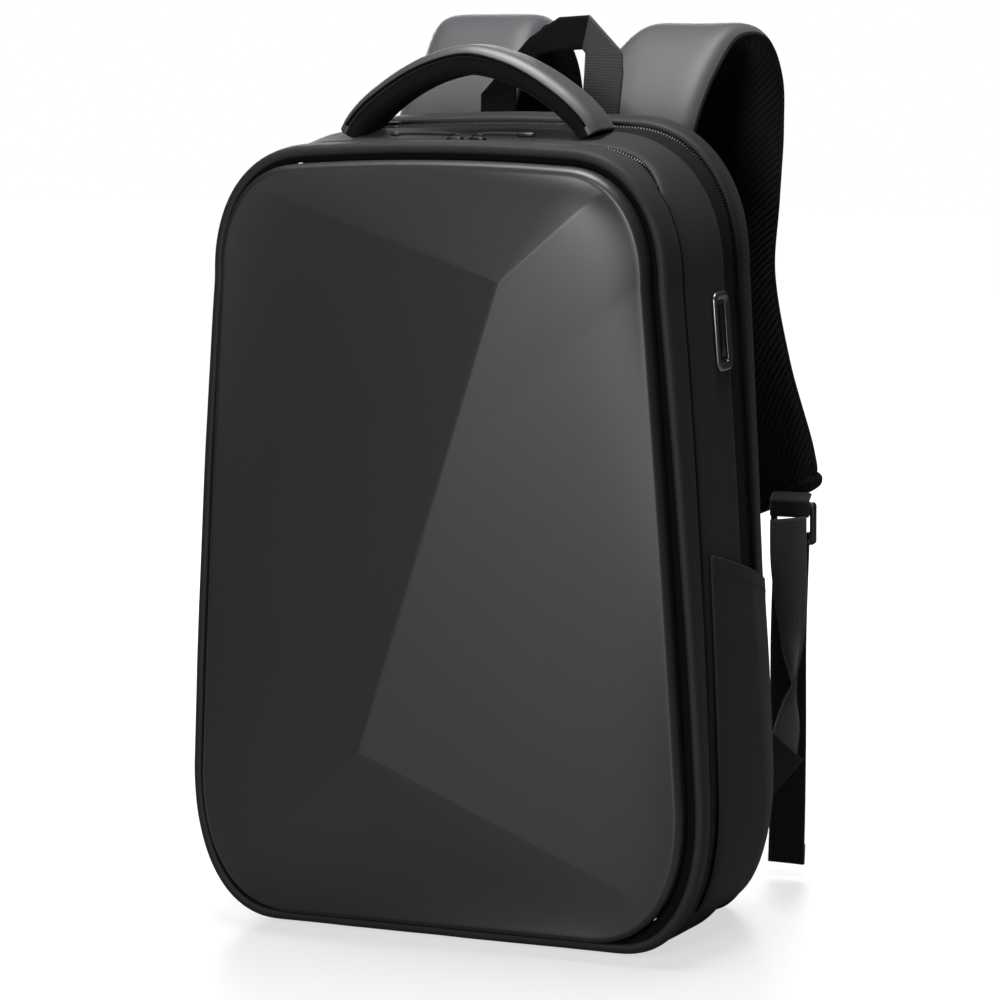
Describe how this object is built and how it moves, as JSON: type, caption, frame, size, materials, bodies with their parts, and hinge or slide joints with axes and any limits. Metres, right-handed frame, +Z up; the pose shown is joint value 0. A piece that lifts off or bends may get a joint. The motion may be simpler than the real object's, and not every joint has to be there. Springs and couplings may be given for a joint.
{
  "type": "laptop backpack",
  "caption": "Tall dark laptop backpack with a moulded four-facet front, zipped fabric body, side pockets, padded straps, carry handle, haul loop and a charging port on one side.",
  "frame": {"origin": "Centre of the flat base on the floor, midway between the groove round the shell and the rear edge.", "axes": "+X to the right as seen from the front, +Y to the rear where the straps are, +Z up."},
  "size_m": [0.321, 0.2952, 0.498],
  "materials": {
    "shell": "satin",
    "binding": "matte",
    "body_cloth": "matte",
    "dark_cloth": "matte",
    "zip_tape": "matte",
    "mesh": "matte",
    "strap_cloth": "matte",
    "webbing": "matte",
    "port_frame": "satin",
    "black_plastic": "satin",
    "zip_metal": "satin",
    "cord": "matte"
  },
  "bodies": {
    "root": {"front_shell": "shell", "shell_binding": "binding", "front_rim": "body_cloth", "front_zip": "zip_tape", "main_gusset": "body_cloth", "rear_zip": "zip_tape", "rear_gusset": "dark_cloth", "back_panel": "mesh", "usb_frame": "port_frame", "usb_slot": "black_plastic", "handle_cover": "dark_cloth", "handle_padding": "mesh", "haul_loop": "webbing", "rear_slider": "zip_metal", "front_slider_a": "zip_metal", "front_pull_a": "cord", "front_slider_b": "zip_metal", "front_pull_b": "cord", "side_pocket_right": "body_cloth", "strap_cover_right": "strap_cloth", "strap_padding_right": "mesh", "ladder_lock_right": "black_plastic", "tail_webbing_right": "webbing", "anchor_webbing_right": "webbing", "wing_tab_right": "dark_cloth", "side_pocket_left": "body_cloth", "strap_cover_left": "strap_cloth", "strap_padding_left": "mesh", "ladder_lock_left": "black_plastic", "tail_webbing_left": "webbing", "anchor_webbing_left": "webbing", "wing_tab_left": "dark_cloth"}
  },
  "joints": []
}
